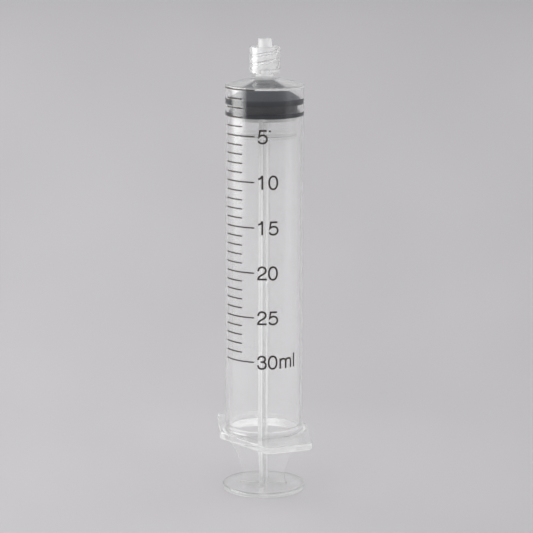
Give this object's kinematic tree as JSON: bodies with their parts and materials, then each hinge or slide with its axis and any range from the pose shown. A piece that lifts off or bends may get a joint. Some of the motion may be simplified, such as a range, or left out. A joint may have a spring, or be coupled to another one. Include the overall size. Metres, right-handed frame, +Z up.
{
  "type": "luer lock syringe",
  "caption": "Three-part disposable syringe with luer lock tip: graduated translucent barrel with finger flange, ribbed plunger rod with thumb disc, dark rubber stopper.",
  "frame": {"origin": "centre of the thumb disc's underside, which the syringe stands on", "axes": "+Z up along the barrel axis to the luer tip, -Y towards the reader of the scale, +X to the reader's right"},
  "size_m": [0.0292, 0.0444, 0.1384],
  "materials": {
    "barrel_polypropylene": "clear moulded, slightly milky",
    "rod_polypropylene": "natural translucent, moulded",
    "stopper_rubber": "satin, moulded",
    "printing_ink": "matt printed ink"
  },
  "bodies": {
    "barrel": {"barrel": "barrel_polypropylene", "graduation_marks": "printing_ink"},
    "stopper": {"stopper": "stopper_rubber"},
    "plunger_rod": {"plunger_rod": "rod_polypropylene"}
  },
  "joints": [
    {"name": "plunger_slide", "type": "slide", "parent": "stopper", "child": "barrel", "axis": [0, 0, 1], "range_m": [0, 0.094]},
    {"name": "rod_spin", "type": "hinge", "parent": "stopper", "child": "plunger_rod", "pos_m": [0, 0, 0.1168], "axis": [0, 0, 1], "continuous": true}
  ]
}
